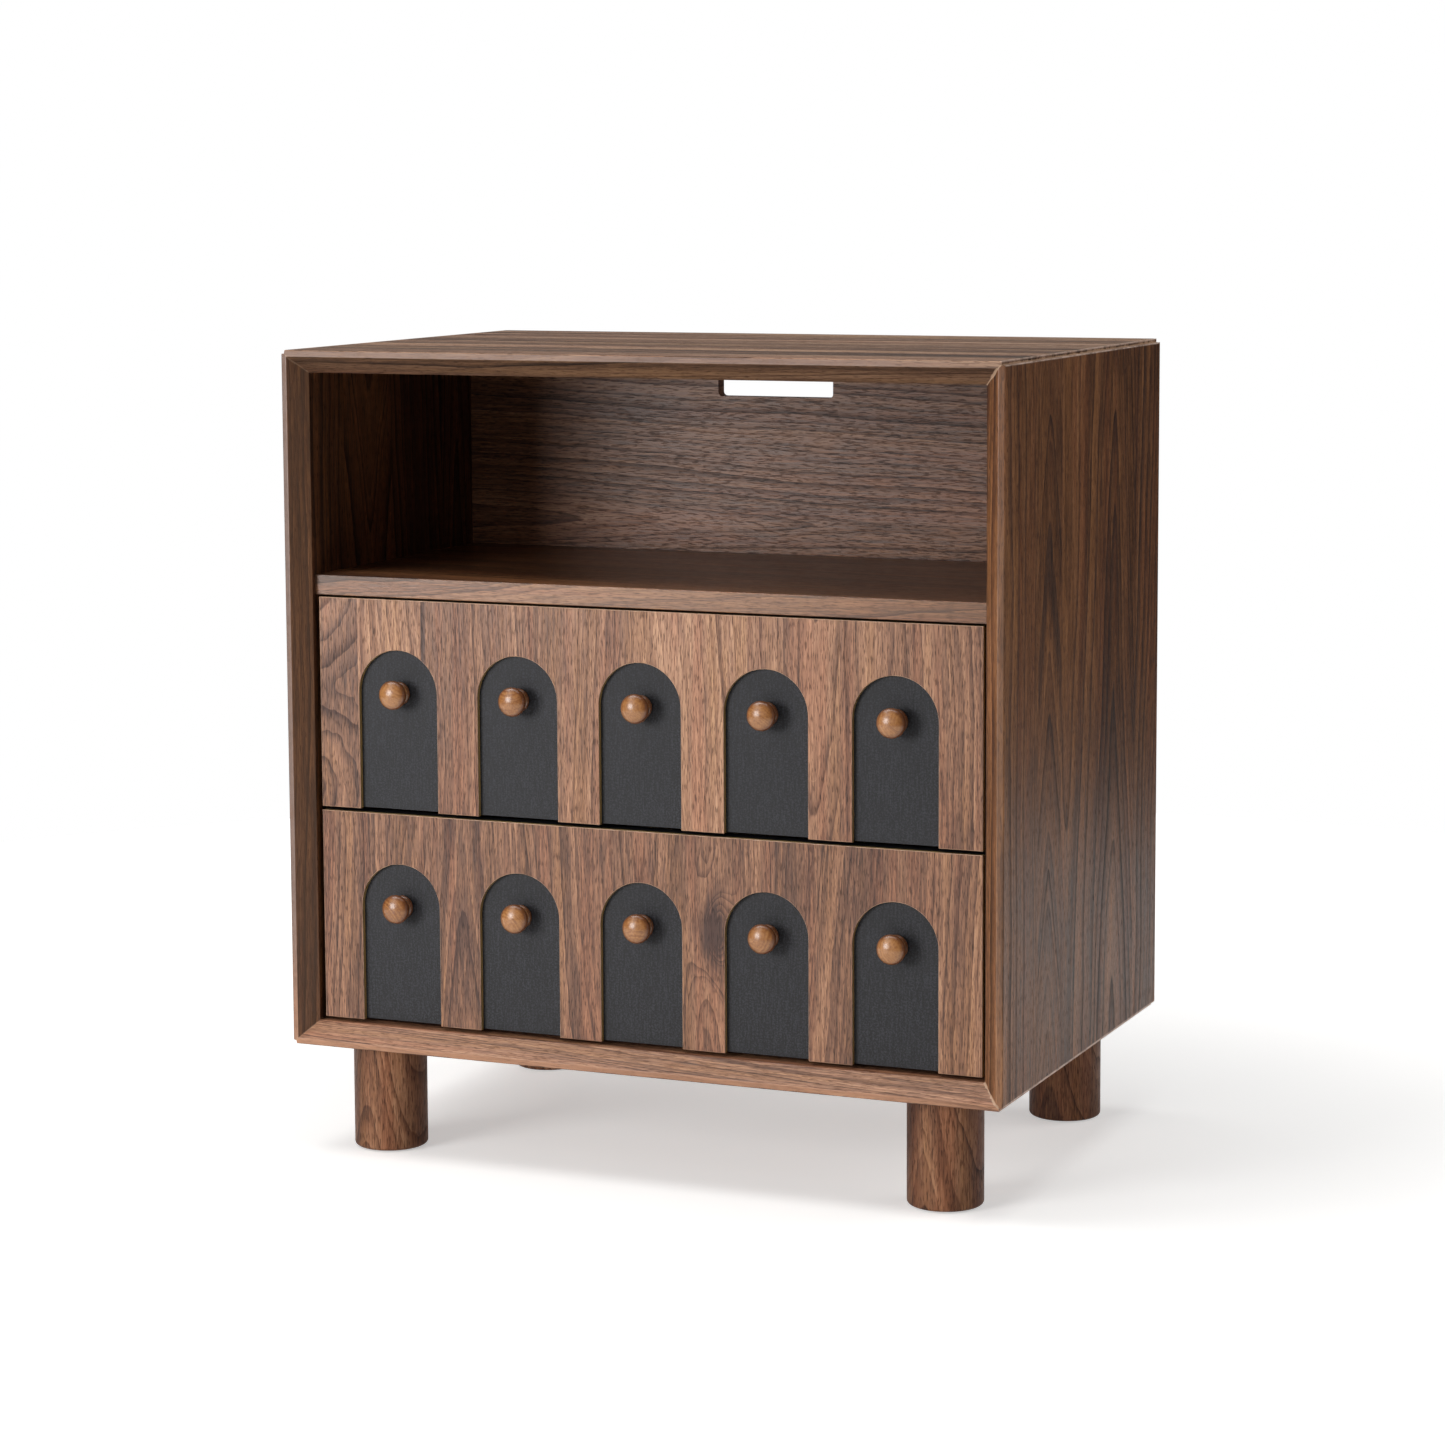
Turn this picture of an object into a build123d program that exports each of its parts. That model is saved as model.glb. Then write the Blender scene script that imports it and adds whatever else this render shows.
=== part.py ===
from build123d import *
import os

# Two-drawer bedside cabinet: an open bay over two drawers, in a mitred casing on four round legs.
#
# Millimetres. X runs to the right, Y to the back and Z up. The origin is on the floor, under the
# middle of the casing's footprint, and the front of the cabinet faces -Y.

os.makedirs("parts", exist_ok=True)

# Driving dimensions ==============================================================================

# Casing
case_width = 600.0
case_depth = 393.0
case_height = 556.0
board = 18.0  # thickness of the four outer panels
corner_step = 3.0  # square step along the casing's four long corners
nose_width = 5.0  # narrow nose on each panel's front edge
nose_drop = 1.6  # how far the nose leans back towards the outer face
nose_round = 1.2
bevel_depth = 13.3  # from the nose back to where the inner face starts

# Divider shelf and back panel
bay_height = 160.5  # clear height of the open bay
shelf_thickness = 16.0
shelf_setback = 18.2  # casing front to shelf front
shelf_edge_round = 0.8
back_setback = 294.0  # casing front to the back panel
back_thickness = 12.0
slot_width = 102.5  # cable slot, cut down from the back panel's top edge
slot_height = 30.0
slot_round = 3.5

# Legs and their fixings
leg_height = 88.0
leg_diameter = 59.0
leg_side_inset = 62.0  # casing side to leg axis
leg_front_inset = 49.5  # casing front, or back, to leg axis
leg_foot_round = 3.0
pad_diameter = 43.4
pad_thickness = 3.5
pad_proud = 1.0  # how far the felt pad stands out of the leg
pad_clearance = 0.3
bolt_diameter = 8.0
bolt_in_leg = 42.0
bolt_in_insert = 12.5
bolt_tip = 2.5
insert_diameter = 12.0
insert_length = 14.0
insert_bore = 8.2

# Dowels, all alike
dowel_diameter = 6.0
dowel_length = 20.0
dowel_chamfer = 0.7
dowel_fit = 0.1  # radial clearance of a dowel in its hole
dowel_end_room = 0.5  # room past each end of a dowel
mitre_dowel_depth = 13.5  # from the outer faces to a mitre dowel's middle
mitre_dowel_rows = (-150.0, -50.0, 50.0, 150.0)
shelf_dowel_rows = (-145.0, 65.0)
back_dowel_heights = (150.0, 366.0, 560.0)

# Cam fittings of the shelf
cam_diameter = 15.0
cam_height = 12.5
cam_reach = 34.0  # shelf end to the cam's axis
cam_fit = 0.2
cam_rows = (-95.0, 15.0)
cam_bolt_thread = 6.0
cam_bolt_thread_length = 11.0
cam_bolt_shank = 5.0
cam_bolt_head = 7.0
cam_bolt_head_length = 3.0
cam_bolt_hole = 8.0
cam_driver_slot = (9.0, 1.8, 2.0)  # length, width, depth

# Drawer fronts
face_width = 557.0
face_height = 168.0
face_setback = 17.0  # casing front to drawer face
face_thickness = 4.0
face_arris = 0.4
gap_below = 2.9  # casing floor to the lower drawer front
gap_between = 3.1  # lower drawer front to the upper one
backing_thickness = 15.0
backing_lift = 0.8  # the backing board stops short of the face's bottom edge
arch_count = 5
arch_pitch = 104.6
arch_width = 69.0
arch_spring = 74.5  # face top to the centre of the arch's half circle

# Knobs, profile as radius and distance in front of the backing board
knob_base_radius = 9.4
knob_base_height = 4.0
knob_neck_radius = 6.2
knob_head_radius = 11.5
knob_head_start = 8.6
knob_rim_height = 15.4
knob_height = 19.0
knob_screw_diameter = 4.0
knob_screw_reach = 10.0  # thread inside the knob
knob_screw_head = 8.0
knob_screw_head_height = 2.4
knob_screw_fit = 0.15

# Drawer boxes
side_thickness = 12.0
side_height = 130.0
side_lift = 14.0  # face bottom to the box's bottom edge
bottom_thickness = 5.0
groove_lift = 10.0  # box bottom edge to the groove
groove_depth = 5.0
groove_fit = 0.15
front_dowel_heights = (35.0, 70.0, 110.0)  # above the box's bottom edge
rear_dowel_heights = (35.0, 70.0, 110.0)
rear_dowel_in_side = 7.0

# Ball-bearing slides
slide_length = 250.0
slide_width = 12.7  # casing side to drawer box
slide_front_room = 0.5  # backing board to the slides' front end
sheet = 1.2  # thickness of the steel
cabinet_member_half_height = 22.5
cabinet_member_tip = 10.8
cabinet_member_lip = 4.0
middle_member_half_height = 17.0
middle_member_base = 3.4
middle_member_tip = 9.6
drawer_member_half_height = 11.4
drawer_member_tip = 6.0
ball_radius = 1.8
ball_count = 9
ball_pitch = 12.5
cage_thickness = 0.6
cage_margin = 5.0  # cage beyond its first and last ball
cage_half_height = 1.7
outer_race = (6.2, 19.15)  # from the casing side, and from the slide's middle height
inner_race = (7.8, 13.6)
slide_screw_rows = (25.0, 125.0, 225.0)  # from the slide's front end
slide_screw_diameter = 3.5
slide_screw_head = 7.0
slide_screw_head_height = 1.7
slide_screw_reach = 9.0
slide_screw_hole = 4.2
slide_screw_fit = 0.1

# Places worked out from the driving dimensions ===================================================

front = -case_depth / 2
back = case_depth / 2
case_bottom = leg_height
case_top = leg_height + case_height
case_middle = (case_bottom + case_top) / 2
inner_half_width = case_width / 2 - board
inner_bottom = case_bottom + board
inner_top = case_top - board

shelf_top = inner_top - bay_height
shelf_bottom = shelf_top - shelf_thickness
shelf_middle = (shelf_top + shelf_bottom) / 2
shelf_front = front + shelf_setback
back_panel_front = front + back_setback
back_panel_rear = back_panel_front + back_thickness

leg_x = case_width / 2 - leg_side_inset
leg_y = case_depth / 2 - leg_front_inset
leg_places = {
    "front_left_leg": (-leg_x, -leg_y),
    "front_right_leg": (leg_x, -leg_y),
    "rear_left_leg": (-leg_x, leg_y),
    "rear_right_leg": (leg_x, leg_y),
}

face_front = front + face_setback
face_rear = face_front + face_thickness
backing_rear = face_rear + backing_thickness
arch_radius = arch_width / 2

box_half_width = inner_half_width - slide_width
box_inner_half_width = box_half_width - side_thickness
box_rear = backing_rear + slide_length
slide_front = backing_rear + slide_front_room
slide_rear = slide_front + slide_length

lower_face_bottom = inner_bottom + gap_below
upper_face_bottom = lower_face_bottom + face_height + gap_between
drawers = {"lower": lower_face_bottom, "upper": upper_face_bottom}
sides = {"left": -1, "right": 1}


def finish(piece, node):
    """Label one finished piece and write it to its own file."""
    piece.part.label = node
    export_step(piece.part, f"parts/{node}.step")


# Casing ==========================================================================================


def mitre_dowel_places():
    """Dowels across the four mitres, square to the joint."""
    places = []
    for side in (-1, 1):
        for end in (-1, 1):
            x = side * (case_width / 2 - mitre_dowel_depth)
            z = case_middle + end * (case_height / 2 - mitre_dowel_depth)
            for y in mitre_dowel_rows:
                places.append(Plane(origin=(x, y, z), z_dir=(-side, 0, end)).location)
    return places


def shelf_dowel_places():
    """Dowels in the shelf's two ends, half in the shelf and half in the casing side."""
    places = []
    for side in (-1, 1):
        for y in shelf_dowel_rows:
            origin = (side * inner_half_width, y, shelf_middle)
            places.append(Plane(origin=origin, z_dir=(1, 0, 0)).location)
    return places


def back_dowel_places():
    """Dowels in the back panel's two long edges."""
    places = []
    for side in (-1, 1):
        for z in back_dowel_heights:
            origin = (side * inner_half_width, (back_panel_front + back_panel_rear) / 2, z)
            places.append(Plane(origin=origin, z_dir=(1, 0, 0)).location)
    return places


casing_dowel_places = mitre_dowel_places() + shelf_dowel_places() + back_dowel_places()
dowel_hole_radius = dowel_diameter / 2 + dowel_fit
dowel_hole_length = dowel_length + 2 * dowel_end_room


def casing_panel(outer_middle, inward, half_length):
    """One of the casing's four boards, mitred at both ends and bevelled along its front edge.

    outer_middle is the middle of its outer face, and inward points from there into the casing.
    """
    forward = Vector(0, -1, 0)
    rearward = Vector(0, 1, 0)
    inward = Vector(*inward)
    ends_plane = Plane(origin=outer_middle, x_dir=inward.cross(forward), z_dir=forward)
    section_plane = Plane(origin=outer_middle, x_dir=rearward, z_dir=rearward.cross(inward))
    with BuildPart() as panel:
        with BuildSketch(ends_plane):
            with BuildLine():
                Polyline(
                    (corner_step - half_length, 0),
                    (half_length - corner_step, 0),
                    (half_length - corner_step, corner_step),
                    (half_length - board, board),
                    (board - half_length, board),
                    (corner_step - half_length, corner_step),
                    close=True,
                )
            make_face()
        extrude(amount=case_depth / 2, both=True)
        with BuildSketch(section_plane) as section:
            with BuildLine():
                Polyline(
                    (back, 0),
                    (front + nose_drop, 0),
                    (front, nose_width),
                    (front + bevel_depth, board),
                    (back, board),
                    close=True,
                )
            make_face()
            fillet(section.vertices().sort_by(Axis.X)[:2], nose_round)
        extrude(amount=half_length, both=True, mode=Mode.INTERSECT)
        with Locations(*casing_dowel_places):
            Cylinder(dowel_hole_radius, dowel_hole_length, mode=Mode.SUBTRACT)
    return panel


top_panel = casing_panel((0, 0, case_top), (0, 0, -1), case_width / 2)
finish(top_panel, "top_panel")

plain_bottom = casing_panel((0, 0, case_bottom), (0, 0, 1), case_width / 2)
with BuildPart() as bottom_panel:
    add(plain_bottom.part)
    with BuildSketch(Plane.XY.offset(case_bottom)):
        with Locations(*leg_places.values()):
            Circle(insert_diameter / 2)
    extrude(amount=insert_length + dowel_end_room, mode=Mode.SUBTRACT)
finish(bottom_panel, "bottom_panel")

for side_name, side in sides.items():
    plain_side = casing_panel(
        (side * case_width / 2, 0, case_middle), (-side, 0, 0), case_height / 2
    )
    with BuildPart() as side_panel:
        add(plain_side.part)
        with BuildSketch(Plane.YZ.offset(side * inner_half_width)):
            with Locations(*[(y, shelf_middle) for y in cam_rows]):
                Circle(cam_bolt_thread / 2 + dowel_fit)
        extrude(amount=side * (cam_bolt_thread_length + dowel_end_room), mode=Mode.SUBTRACT)
        with BuildSketch(Plane.YZ.offset(side * inner_half_width)):
            for face_bottom in drawers.values():
                slide_z = face_bottom + side_lift + side_height / 2
                with Locations(*[(slide_front + row, slide_z) for row in slide_screw_rows]):
                    Circle(slide_screw_diameter / 2 + slide_screw_fit)
        extrude(amount=side * (slide_screw_reach + dowel_end_room), mode=Mode.SUBTRACT)
    finish(side_panel, f"{side_name}_side_panel")

with BuildPart() as divider_shelf:
    with BuildSketch(Plane.XY.offset(shelf_bottom)):
        with Locations((0, (shelf_front + back_panel_front) / 2)):
            Rectangle(2 * inner_half_width, back_panel_front - shelf_front)
    extrude(amount=shelf_thickness)
    front_edges = divider_shelf.faces().sort_by(Axis.Y)[0].edges().filter_by(Axis.X)
    fillet(front_edges, shelf_edge_round)
    with Locations(*casing_dowel_places):
        Cylinder(dowel_hole_radius, dowel_hole_length, mode=Mode.SUBTRACT)
    for side in (-1, 1):
        with BuildSketch(Plane.XY.offset(shelf_bottom)):
            with Locations(*[(side * (inner_half_width - cam_reach), y) for y in cam_rows]):
                Circle(cam_diameter / 2 + cam_fit)
        extrude(amount=cam_height + cam_fit, mode=Mode.SUBTRACT)
        with BuildSketch(Plane.YZ.offset(side * inner_half_width)):
            with Locations(*[(y, shelf_middle) for y in cam_rows]):
                Circle(cam_bolt_hole / 2)
        extrude(amount=-side * cam_reach, mode=Mode.SUBTRACT)
finish(divider_shelf, "divider_shelf")

with BuildPart() as back_panel:
    with BuildSketch(Plane.XZ.offset(-back_panel_rear)):
        with Locations((0, (inner_bottom + inner_top) / 2)):
            Rectangle(2 * inner_half_width, inner_top - inner_bottom)
        with BuildSketch(mode=Mode.SUBTRACT) as slot:
            with Locations((0, inner_top - slot_height / 2)):
                Rectangle(slot_width, slot_height)
            fillet(slot.vertices().group_by(Axis.Y)[0], slot_round)
    extrude(amount=back_thickness)
    with Locations(*casing_dowel_places):
        Cylinder(dowel_hole_radius, dowel_hole_length, mode=Mode.SUBTRACT)
finish(back_panel, "back_panel")

with BuildPart() as casing_dowels:
    with Locations(*casing_dowel_places):
        Cylinder(dowel_diameter / 2, dowel_length)
    chamfer(casing_dowels.edges().filter_by(GeomType.CIRCLE), dowel_chamfer)
finish(casing_dowels, "casing_dowels")

with BuildPart() as shelf_cam_locks:
    for side in (-1, 1):
        with BuildSketch(Plane.XY.offset(shelf_bottom)):
            with Locations(*[(side * (inner_half_width - cam_reach), y) for y in cam_rows]):
                Circle(cam_diameter / 2)
        extrude(amount=cam_height)
        with BuildSketch(Plane.XY.offset(shelf_bottom)):
            with Locations(*[(side * (inner_half_width - cam_reach), y) for y in cam_rows]):
                Rectangle(cam_driver_slot[0], cam_driver_slot[1])
                Rectangle(cam_driver_slot[1], cam_driver_slot[0])
        extrude(amount=cam_driver_slot[2], mode=Mode.SUBTRACT)
        with BuildSketch(Plane.YZ.offset(side * inner_half_width)):
            with Locations(*[(y, shelf_middle) for y in cam_rows]):
                Circle(cam_bolt_hole / 2)
        extrude(amount=-side * cam_reach, mode=Mode.SUBTRACT)
finish(shelf_cam_locks, "shelf_cam_locks")

with BuildPart() as shelf_cam_bolts:
    for side in (-1, 1):
        for radius, start, end in (
            (cam_bolt_thread / 2, -cam_bolt_thread_length, 0),
            (cam_bolt_shank / 2, 0, cam_reach - cam_bolt_head_length),
            (cam_bolt_head / 2, cam_reach - cam_bolt_head_length, cam_reach - dowel_end_room),
        ):
            with BuildSketch(Plane.YZ.offset(side * (inner_half_width - start))):
                with Locations(*[(y, shelf_middle) for y in cam_rows]):
                    Circle(radius)
            extrude(amount=-side * (end - start))
finish(shelf_cam_bolts, "shelf_cam_bolts")

# Legs ============================================================================================


def leg(place):
    """A round leg with a rounded foot, a recess for its felt pad and a hole for its bolt."""
    with BuildPart() as piece:
        with BuildSketch(Plane.XY.offset(pad_proud)):
            with Locations(place):
                Circle(leg_diameter / 2)
        extrude(amount=leg_height - pad_proud)
        fillet(piece.faces().sort_by(Axis.Z)[0].edges(), leg_foot_round)
        with BuildSketch(Plane.XY.offset(pad_proud)):
            with Locations(place):
                Circle(pad_diameter / 2 + pad_clearance)
        extrude(amount=pad_thickness - pad_proud, mode=Mode.SUBTRACT)
        with BuildSketch(Plane.XY.offset(leg_height)):
            with Locations(place):
                Circle(bolt_diameter / 2 + dowel_fit)
        extrude(amount=-(bolt_in_leg + dowel_end_room), mode=Mode.SUBTRACT)
    return piece


for leg_name, leg_place in leg_places.items():
    finish(leg(leg_place), leg_name)

with BuildPart() as foot_pads:
    with BuildSketch():
        with Locations(*leg_places.values()):
            Circle(pad_diameter / 2)
    extrude(amount=pad_thickness)
finish(foot_pads, "foot_pads")

with BuildPart() as leg_bolts:
    with BuildSketch(Plane.XY.offset(leg_height - bolt_in_leg)):
        with Locations(*leg_places.values()):
            Circle(bolt_diameter / 2)
    extrude(amount=bolt_in_leg + bolt_in_insert)
    chamfer(leg_bolts.faces().group_by(Axis.Z)[0].edges(), bolt_tip)
finish(leg_bolts, "leg_bolts")

with BuildPart() as leg_inserts:
    with BuildSketch(Plane.XY.offset(case_bottom)):
        with Locations(*leg_places.values()):
            Circle(insert_diameter / 2)
            Circle(insert_bore / 2, mode=Mode.SUBTRACT)
    extrude(amount=insert_length)
finish(leg_inserts, "leg_inserts")

# Slides ==========================================================================================


def channel(side, slide_z, base, tip, half_height, lip=0.0):
    """One steel member of a slide: a channel with its web at base and its open side at tip.

    base and tip are distances from the casing side. A lip turns in from each flange's tip.
    """
    turn = 1 if tip > base else -1
    web = base + turn * sheet
    inner_height = half_height - sheet
    lip_height = half_height - max(lip, sheet)
    half_outline = (
        (base, half_height),
        (tip, half_height),
        (tip, lip_height),
        (tip - turn * sheet, lip_height),
        (tip - turn * sheet, inner_height),
        (web, inner_height),
    )
    outline = half_outline if lip else half_outline[:3] + half_outline[5:]
    upper = [(side * (inner_half_width - w), slide_z + h) for w, h in outline]
    lower = [(side * (inner_half_width - w), slide_z - h) for w, h in reversed(outline)]
    holes = (side * (inner_half_width - base), slide_z)
    with BuildPart() as member:
        with BuildSketch(Plane.XZ.offset(-slide_rear)):
            with BuildLine():
                Polyline(*upper, *lower, close=True)
            make_face()
        extrude(amount=slide_length)
        with BuildSketch(Plane.YZ.offset(holes[0])):
            with Locations(*[(slide_front + row, holes[1]) for row in slide_screw_rows]):
                Circle(slide_screw_hole / 2)
        extrude(amount=-side * turn * sheet, mode=Mode.SUBTRACT)
    return member


def slide_screws(side, heights, seat, direction):
    """Pan-head screws through a slide member's web, from seat towards direction along the width."""
    seat_x = side * (inner_half_width - seat)
    pull = -side * direction
    with BuildPart() as screws:
        for radius, amount in (
            (slide_screw_diameter / 2, pull * (slide_screw_reach + sheet)),
            (slide_screw_head / 2, -pull * slide_screw_head_height),
        ):
            with BuildSketch(Plane.YZ.offset(seat_x)):
                for slide_z in heights:
                    with Locations(*[(slide_front + row, slide_z) for row in slide_screw_rows]):
                        Circle(radius)
            extrude(amount=amount)
    return screws


def ball_cage(side, slide_z, race, first_y):
    """A row of balls in its thin cage, running along one race of a slide."""
    width, height = race
    x = side * (inner_half_width - width)
    cage_length = (ball_count - 1) * ball_pitch + 2 * cage_margin
    with BuildPart() as cage:
        for end in (-1, 1):
            z = slide_z + end * height
            with Locations((x, first_y - cage_margin + cage_length / 2, z)):
                Box(cage_thickness, cage_length, 2 * cage_half_height)
            with Locations(*[(x, first_y + i * ball_pitch, z) for i in range(ball_count)]):
                Sphere(ball_radius)
    return cage


slide_heights = [face_bottom + side_lift + side_height / 2 for face_bottom in drawers.values()]
cage_front = slide_front + 2 * cage_margin
cage_rear = slide_rear - 2 * cage_margin - (ball_count - 1) * ball_pitch

for drawer_name, face_bottom in drawers.items():
    slide_z = face_bottom + side_lift + side_height / 2
    for side_name, side in sides.items():
        prefix = f"{drawer_name}_{side_name}_slide"
        cabinet_member = channel(
            side, slide_z, 0.0, cabinet_member_tip, cabinet_member_half_height, cabinet_member_lip
        )
        finish(cabinet_member, f"{prefix}_cabinet_member")
        middle_member = channel(
            side, slide_z, middle_member_base, middle_member_tip, middle_member_half_height
        )
        finish(middle_member, f"{prefix}_middle_member")
        drawer_member = channel(
            side, slide_z, slide_width, drawer_member_tip, drawer_member_half_height
        )
        finish(drawer_member, f"{prefix}_drawer_member")
    cages = [
        ball_cage(side, slide_z, race, first_y)
        for side in sides.values()
        for race, first_y in ((outer_race, cage_rear), (inner_race, cage_front))
    ]
    with BuildPart() as ball_cages:
        for cage in cages:
            add(cage.part)
    finish(ball_cages, f"{drawer_name}_slide_ball_cages")

left_screws = slide_screws(-1, slide_heights, sheet, -1)
right_screws = slide_screws(1, slide_heights, sheet, -1)
with BuildPart() as cabinet_slide_screws:
    add(left_screws.part)
    add(right_screws.part)
finish(cabinet_slide_screws, "cabinet_slide_screws")

# Drawers =========================================================================================


def drawer_face(face_bottom):
    """The thin walnut front, cut by open-bottomed arches."""
    spring_z = face_bottom + face_height - arch_spring
    with BuildPart() as face:
        with BuildSketch(Plane.XZ.offset(-face_rear)):
            with Locations((0, face_bottom + face_height / 2)):
                Rectangle(face_width, face_height)
            with Locations((0, (face_bottom + spring_z) / 2)):
                with GridLocations(arch_pitch, 0, arch_count, 1):
                    Rectangle(arch_width, spring_z - face_bottom, mode=Mode.SUBTRACT)
            with Locations((0, spring_z)):
                with GridLocations(arch_pitch, 0, arch_count, 1):
                    Circle(arch_radius, mode=Mode.SUBTRACT)
        extrude(amount=face_thickness)
        chamfer(face.faces().sort_by(Axis.Y)[0].edges(), face_arris)
    return face


def drawer_dowel_places(box_bottom):
    """Dowels from the box sides into the backing board, and into the ends of the box back."""
    places = []
    for side in (-1, 1):
        side_x = side * (box_half_width - side_thickness / 2)
        for height in front_dowel_heights:
            origin = (side_x, backing_rear, box_bottom + height)
            places.append(Plane(origin=origin, z_dir=(0, 1, 0)).location)
        rear_x = side * (box_inner_half_width + rear_dowel_in_side - dowel_length / 2)
        for height in rear_dowel_heights:
            origin = (rear_x, box_rear - side_thickness / 2, box_bottom + height)
            places.append(Plane(origin=origin, z_dir=(1, 0, 0)).location)
    return places


def drawer_backing(face_bottom, box_bottom):
    """The black board behind the arches, which is also the front of the drawer box."""
    board_bottom = face_bottom + backing_lift
    board_top = face_bottom + face_height
    spring_z = board_top - arch_spring
    groove_z = box_bottom + groove_lift
    with BuildPart() as backing:
        with BuildSketch(Plane.XZ.offset(-backing_rear)):
            with Locations((0, (board_bottom + board_top) / 2)):
                Rectangle(face_width, board_top - board_bottom)
            with Locations((0, spring_z)):
                with GridLocations(arch_pitch, 0, arch_count, 1):
                    Circle(knob_screw_diameter / 2 + knob_screw_fit, mode=Mode.SUBTRACT)
        extrude(amount=backing_thickness)
        with BuildSketch(Plane.XZ.offset(-backing_rear)):
            with Locations((0, groove_z + bottom_thickness / 2)):
                Rectangle(2 * (box_inner_half_width + groove_depth), bottom_thickness + 2 * groove_fit)
        extrude(amount=groove_depth, mode=Mode.SUBTRACT)
        with Locations(*drawer_dowel_places(box_bottom)):
            Cylinder(dowel_hole_radius, dowel_hole_length, mode=Mode.SUBTRACT)
    return backing


def drawer_side(side, box_bottom):
    """A side of the drawer box, grooved for the bottom."""
    inner_x = side * box_inner_half_width
    groove_z = box_bottom + groove_lift
    slide_z = box_bottom + side_height / 2
    with BuildPart() as panel:
        with BuildSketch(Plane.YZ.offset(inner_x)):
            with Locations(((backing_rear + box_rear) / 2, box_bottom + side_height / 2)):
                Rectangle(box_rear - backing_rear, side_height)
        extrude(amount=side * side_thickness)
        with BuildSketch(Plane.YZ.offset(inner_x)):
            with Locations(((backing_rear + box_rear) / 2, groove_z + bottom_thickness / 2)):
                Rectangle(box_rear - backing_rear, bottom_thickness + 2 * groove_fit)
        extrude(amount=side * groove_depth, mode=Mode.SUBTRACT)
        with BuildSketch(Plane.YZ.offset(side * box_half_width)):
            with Locations(*[(slide_front + row, slide_z) for row in slide_screw_rows]):
                Circle(slide_screw_diameter / 2 + slide_screw_fit)
        extrude(amount=-side * (slide_screw_reach + dowel_end_room), mode=Mode.SUBTRACT)
        with Locations(*drawer_dowel_places(box_bottom)):
            Cylinder(dowel_hole_radius, dowel_hole_length, mode=Mode.SUBTRACT)
    return panel


def drawer_back(box_bottom):
    """The back of the drawer box, standing on the bottom."""
    lowest = box_bottom + groove_lift + bottom_thickness
    highest = box_bottom + side_height
    with BuildPart() as panel:
        with BuildSketch(Plane.XZ.offset(-box_rear)):
            with Locations((0, (lowest + highest) / 2)):
                Rectangle(2 * box_inner_half_width, highest - lowest)
        extrude(amount=side_thickness)
        with Locations(*drawer_dowel_places(box_bottom)):
            Cylinder(dowel_hole_radius, dowel_hole_length, mode=Mode.SUBTRACT)
    return panel


def drawer_bottom(box_bottom):
    """The thin bottom, held in the grooves of the sides and the backing board."""
    tongue = groove_depth - groove_fit
    front_y = backing_rear - tongue
    with BuildPart() as panel:
        with BuildSketch(Plane.XY.offset(box_bottom + groove_lift)):
            with Locations((0, (front_y + box_rear) / 2)):
                Rectangle(2 * (box_inner_half_width + tongue), box_rear - front_y)
        extrude(amount=bottom_thickness)
    return panel


def knob(x, z):
    """A turned knob: round base, narrow neck, and a rimmed, slightly domed head."""
    turning_plane = Plane(origin=(x, face_rear, z), x_dir=(1, 0, 0), z_dir=(0, 0, -1))
    base_foot = (knob_base_radius - 0.9, 0)
    base_top = (knob_base_radius - 1.3, knob_base_height)
    head_foot = (knob_head_radius - 2.7, knob_head_start)
    rim = (knob_head_radius - 1.2, knob_rim_height)
    with BuildPart() as piece:
        with BuildSketch(turning_plane):
            with BuildLine():
                Line((0, 0), base_foot)
                ThreePointArc(base_foot, (knob_base_radius, knob_base_height / 2), base_top)
                neck_height = (knob_base_height + knob_head_start) / 2
                ThreePointArc(base_top, (knob_neck_radius, neck_height), head_foot)
                widest_height = (knob_head_start + knob_rim_height) / 2
                ThreePointArc(head_foot, (knob_head_radius, widest_height), rim)
                TangentArc((0, knob_height), rim, tangent=(1, 0))
                Line((0, knob_height), (0, 0))
            make_face()
        revolve(axis=Axis((x, face_rear, z), (0, -1, 0)))
        with BuildSketch(Plane.XZ.offset(-face_rear)):
            with Locations((x, z)):
                Circle(knob_screw_diameter / 2 + knob_screw_fit)
        extrude(amount=knob_screw_reach + dowel_end_room, mode=Mode.SUBTRACT)
    return piece


def knob_screws(spring_z):
    """Machine screws from inside the drawer, through the backing board into the knobs."""
    with BuildPart() as screws:
        for radius, amount in (
            (knob_screw_diameter / 2, backing_thickness + knob_screw_reach),
            (knob_screw_head / 2, -knob_screw_head_height),
        ):
            with BuildSketch(Plane.XZ.offset(-backing_rear)):
                with Locations((0, spring_z)):
                    with GridLocations(arch_pitch, 0, arch_count, 1):
                        Circle(radius)
            extrude(amount=amount)
    return screws


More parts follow.
